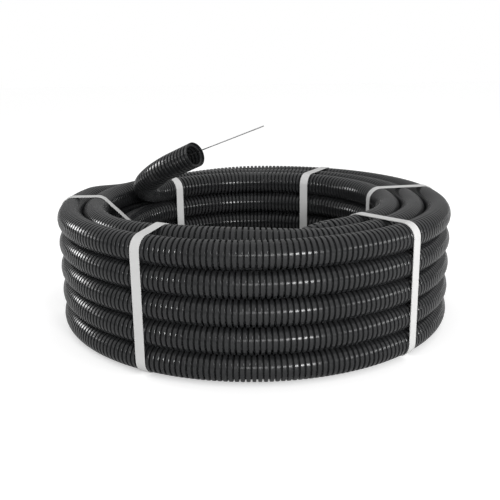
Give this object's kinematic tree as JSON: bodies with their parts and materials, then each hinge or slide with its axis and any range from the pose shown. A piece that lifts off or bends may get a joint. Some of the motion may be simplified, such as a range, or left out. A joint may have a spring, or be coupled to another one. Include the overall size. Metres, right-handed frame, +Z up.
{
  "type": "corrugated conduit coil",
  "caption": "Coil of black corrugated plastic conduit held by flat straps, with one free end standing up out of the coil and a steel pull wire coming out of it.",
  "frame": {"origin": "on the coil's axis, on the floor that the straps' undersides rest on", "axes": "+Z up along the coil's axis; -Y towards the side from which the free end is seen opening"},
  "size_m": [0.5092, 0.5079, 0.2564],
  "materials": {
    "conduit_plastic": "black corrugated plastic, satin",
    "pull_wire": "drawn galvanised steel wire",
    "strapping": "pale grey embossed plastic strapping"
  },
  "bodies": {
    "root": {"conduit": "conduit_plastic", "pull_wire": "pull_wire", "strap_front_left": "strapping", "strap_front_right": "strapping", "strap_right": "strapping", "strap_back_right": "strapping", "strap_back_left": "strapping", "strap_left": "strapping"}
  },
  "joints": []
}
